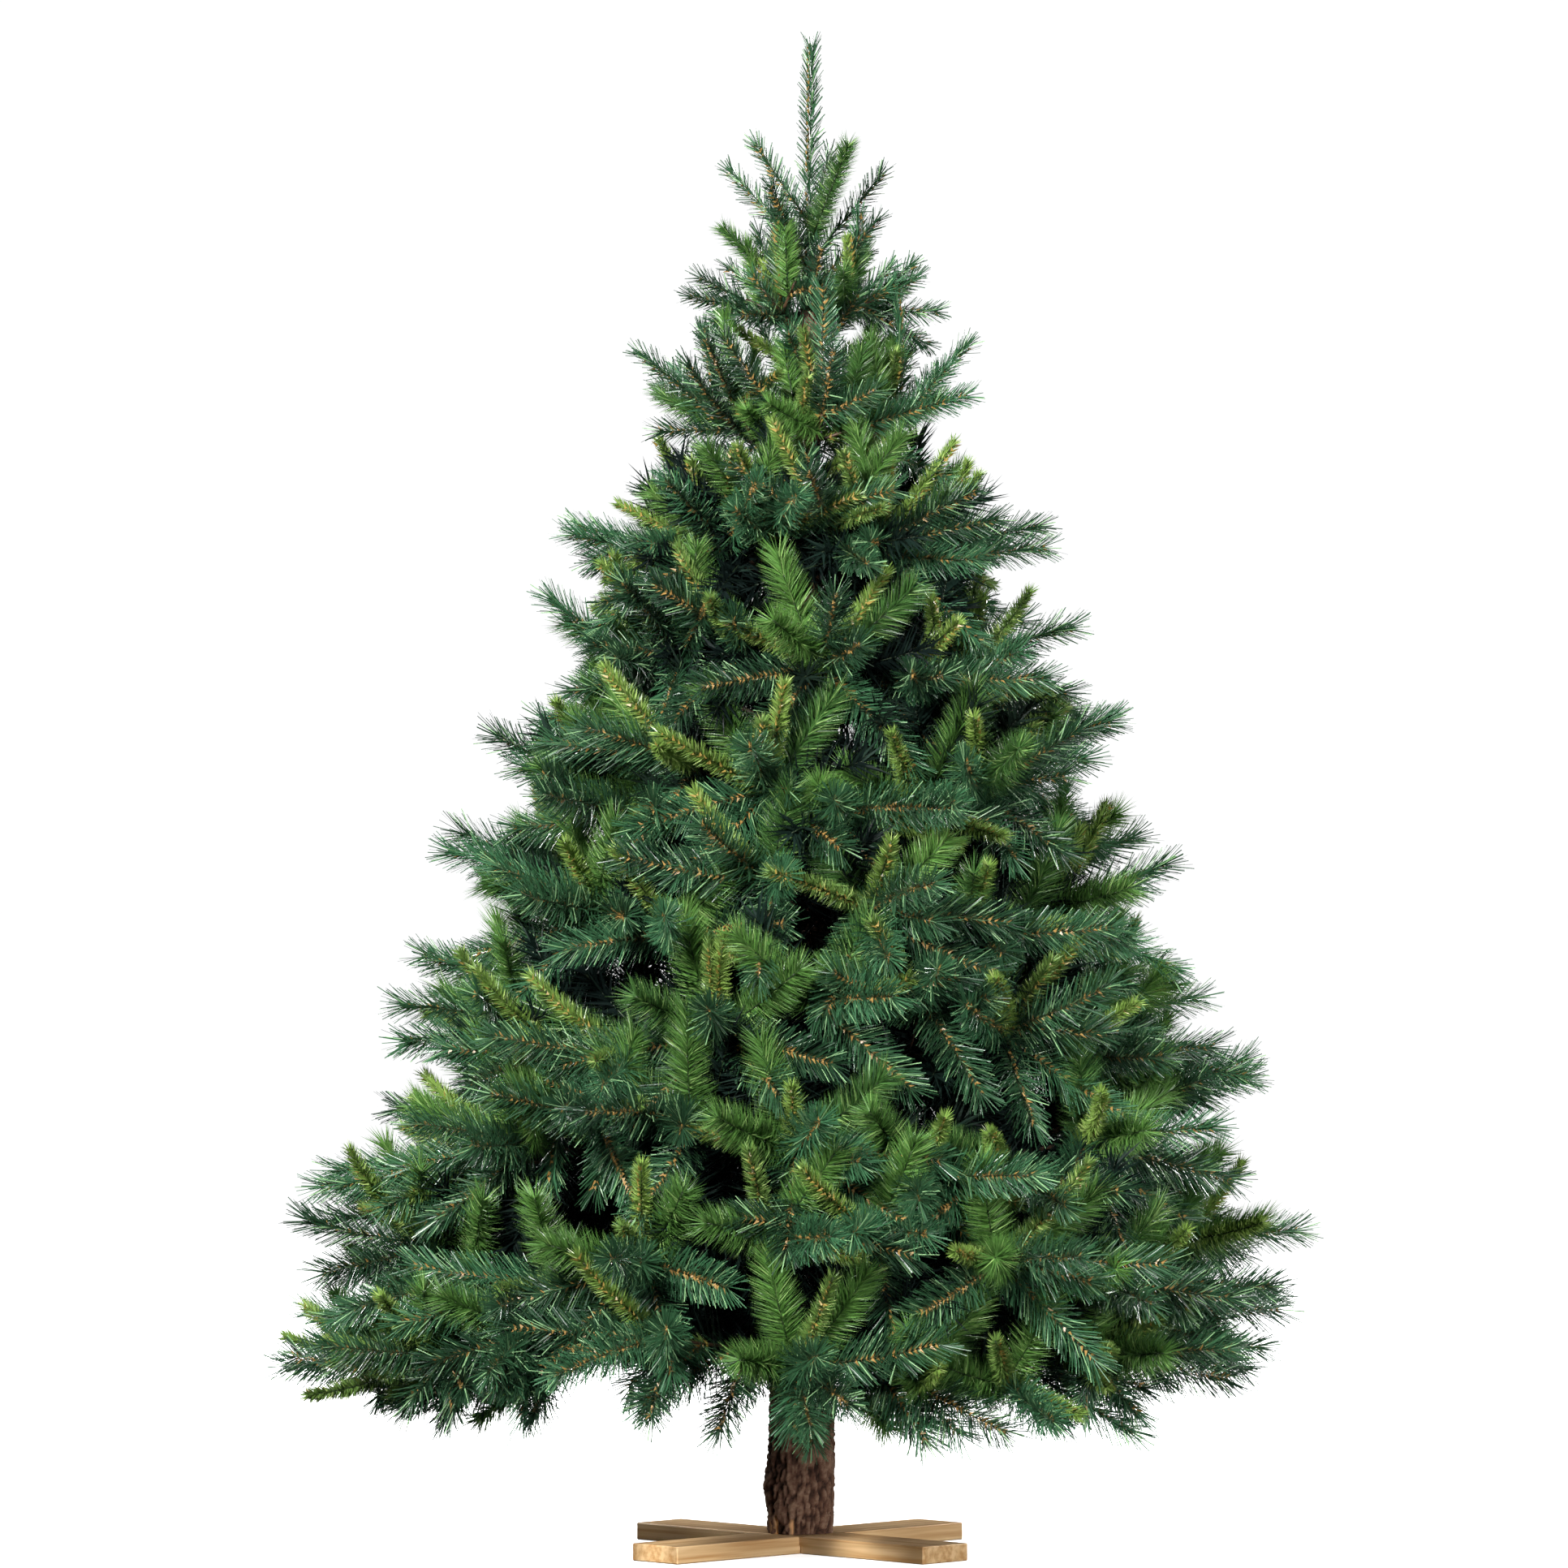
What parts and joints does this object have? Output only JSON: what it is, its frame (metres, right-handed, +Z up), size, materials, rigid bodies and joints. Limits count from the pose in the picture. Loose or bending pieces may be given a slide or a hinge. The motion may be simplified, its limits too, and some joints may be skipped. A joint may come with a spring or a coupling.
{
  "type": "artificial christmas tree",
  "caption": "Artificial fir Christmas tree: tiers of wired branches with needle sprays, set in a bark-covered log trunk on a plain cross stand of two boards.",
  "frame": {"origin": "middle of the stand's flat underside, on the floor", "axes": "+Z up along the trunk, -Y towards the front of the tree, +X to its right as seen from the front"},
  "size_m": [1.4938, 1.4658, 2.1],
  "materials": {
    "bark": "rough, scaly",
    "timber": "planed, unvarnished",
    "wrap": "matte",
    "needles": "satin"
  },
  "bodies": {
    "root": {"leader_needles": "needles", "stand_board_lower": "timber", "stand_board_upper": "timber", "tier10_branch1_needles": "needles", "tier10_branch2_needles": "needles", "tier10_branch3_needles": "needles", "tier10_branch4_needles": "needles", "tier1_branch1_bough": "wrap", "tier1_branch1_needles": "needles", "tier1_branch2_bough": "wrap", "tier1_branch2_needles": "needles", "tier1_branch3_bough": "wrap", "tier1_branch3_needles": "needles", "tier1_branch4_bough": "wrap", "tier1_branch4_needles": "needles", "tier1_branch5_bough": "wrap", "tier1_branch5_needles": "needles", "tier1_branch6_bough": "wrap", "tier1_branch6_needles": "needles", "tier2_branch1_needles": "needles", "tier2_branch2_needles": "needles", "tier2_branch3_needles": "needles", "tier2_branch4_needles": "needles", "tier2_branch5_needles": "needles", "tier2_branch6_needles": "needles", "tier3_branch1_needles": "needles", "tier3_branch2_needles": "needles", "tier3_branch3_needles": "needles", "tier3_branch4_needles": "needles", "tier3_branch5_needles": "needles", "tier3_branch6_needles": "needles", "tier4_branch1_needles": "needles", "tier4_branch2_needles": "needles", "tier4_branch3_needles": "needles", "tier4_branch4_needles": "needles", "tier4_branch5_needles": "needles", "tier4_branch6_needles": "needles", "tier5_branch1_needles": "needles", "tier5_branch2_needles": "needles", "tier5_branch3_needles": "needles", "tier5_branch4_needles": "needles", "tier5_branch5_needles": "needles", "tier6_branch1_needles": "needles", "tier6_branch2_needles": "needles", "tier6_branch3_needles": "needles", "tier6_branch4_needles": "needles", "tier6_branch5_needles": "needles", "tier7_branch1_needles": "needles", "tier7_branch2_needles": "needles", "tier7_branch3_needles": "needles", "tier7_branch4_needles": "needles", "tier8_branch1_needles": "needles", "tier8_branch2_needles": "needles", "tier8_branch3_needles": "needles", "tier8_branch4_needles": "needles", "tier9_branch1_needles": "needles", "tier9_branch2_needles": "needles", "tier9_branch3_needles": "needles", "tier9_branch4_needles": "needles", "trunk": "bark"}
  },
  "joints": []
}
